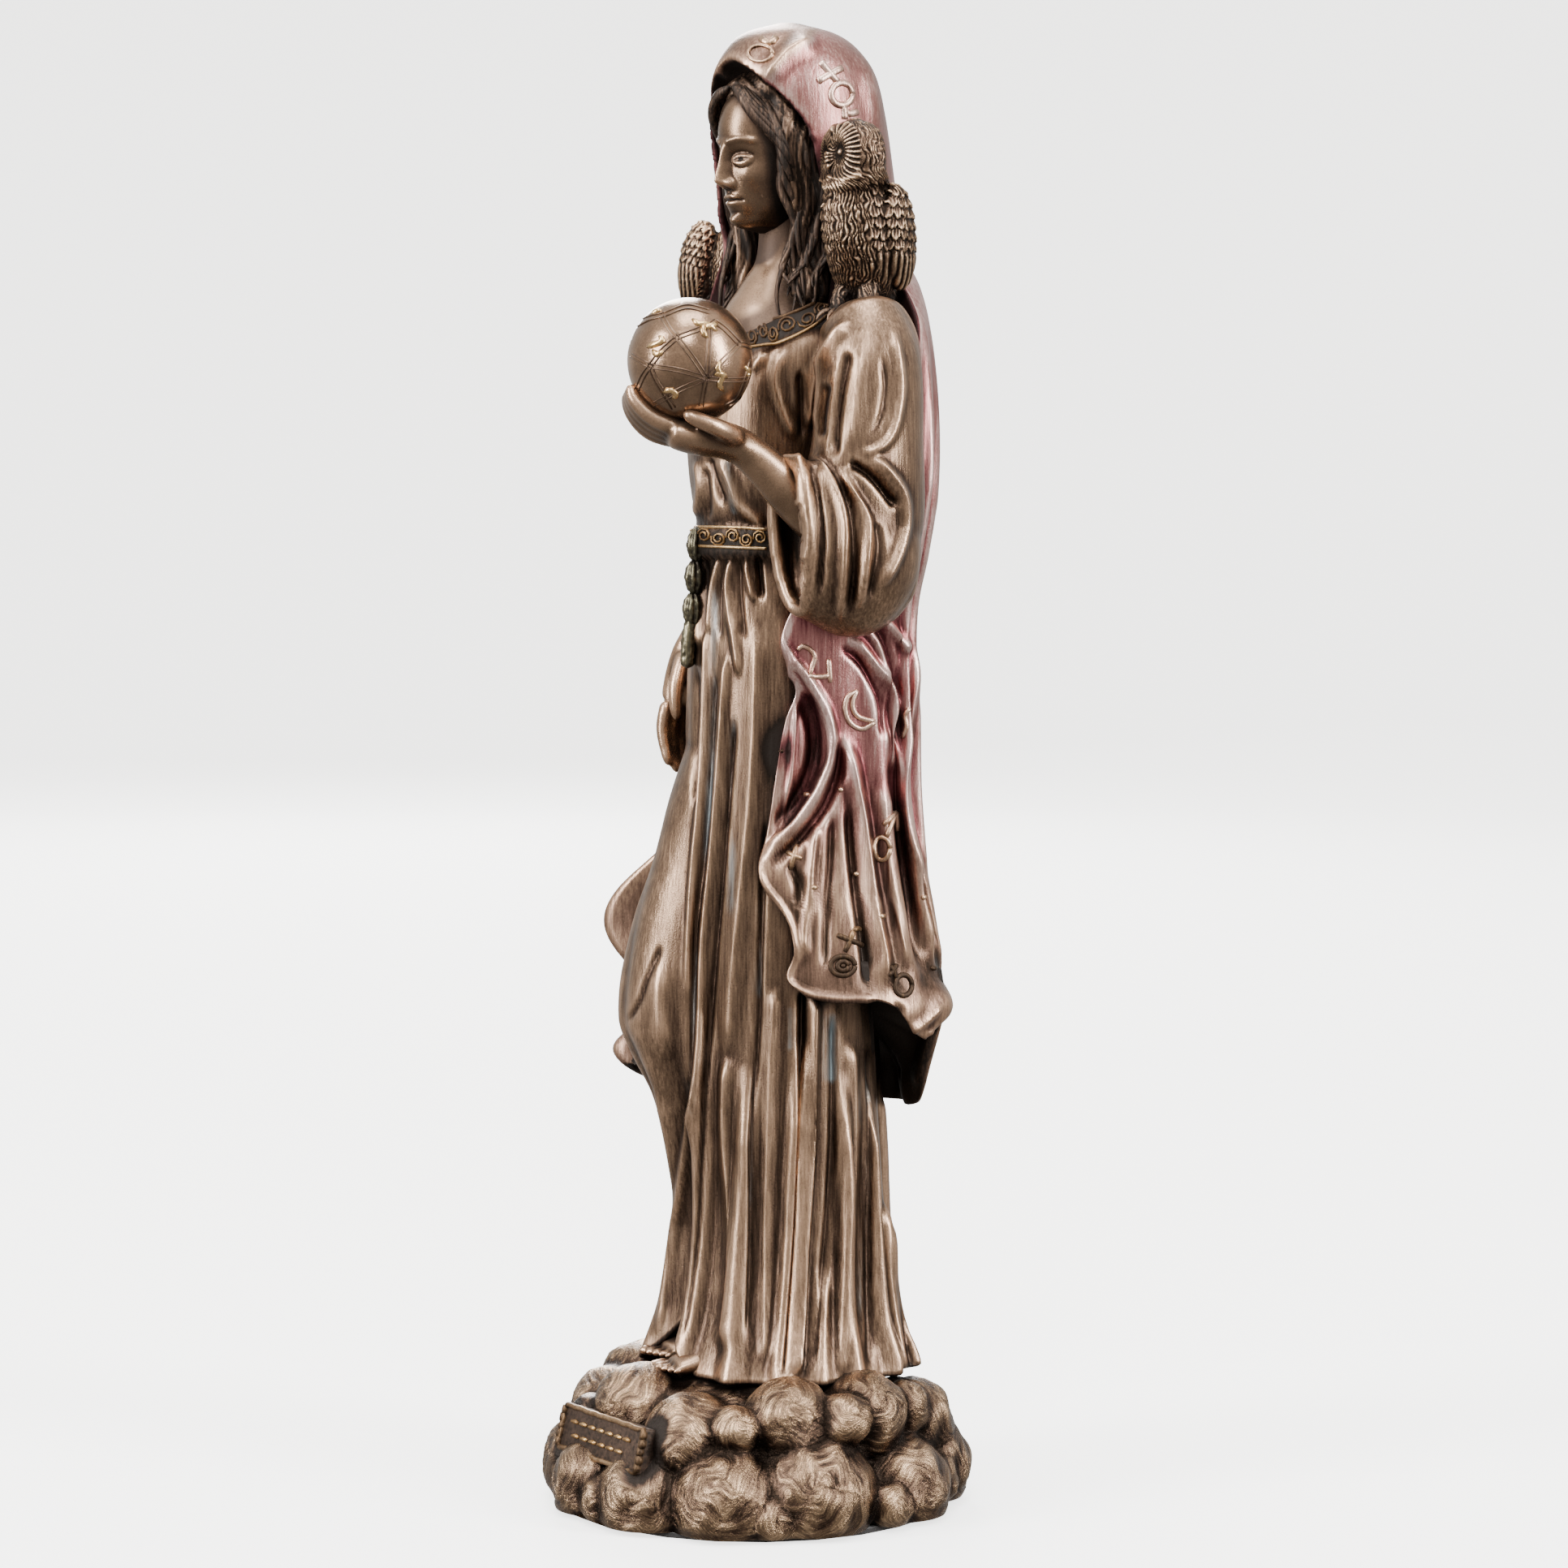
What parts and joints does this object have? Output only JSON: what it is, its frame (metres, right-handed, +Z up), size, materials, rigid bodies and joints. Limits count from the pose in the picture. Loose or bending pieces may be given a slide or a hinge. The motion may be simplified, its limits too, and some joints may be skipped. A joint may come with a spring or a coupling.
{
  "type": "goddess figurine",
  "caption": "Standing veiled goddess figurine in cold-cast bronze, with a star globe in her raised hand and an owl on each shoulder, on a bank of clouds.",
  "frame": {"origin": "centre of the underside of the felt pad", "axes": "+Z up, -Y the way she faces, +X her left side"},
  "size_m": [0.0846, 0.0848, 0.295],
  "materials": {
    "bronze": "cold-cast bronze resin, dark wash in the hollows, dry-brushed copper on the ridges, rose and verdigris tints",
    "felt": "black felt"
  },
  "bodies": {
    "root": {"statue": "bronze", "felt_pad": "felt"}
  },
  "joints": []
}
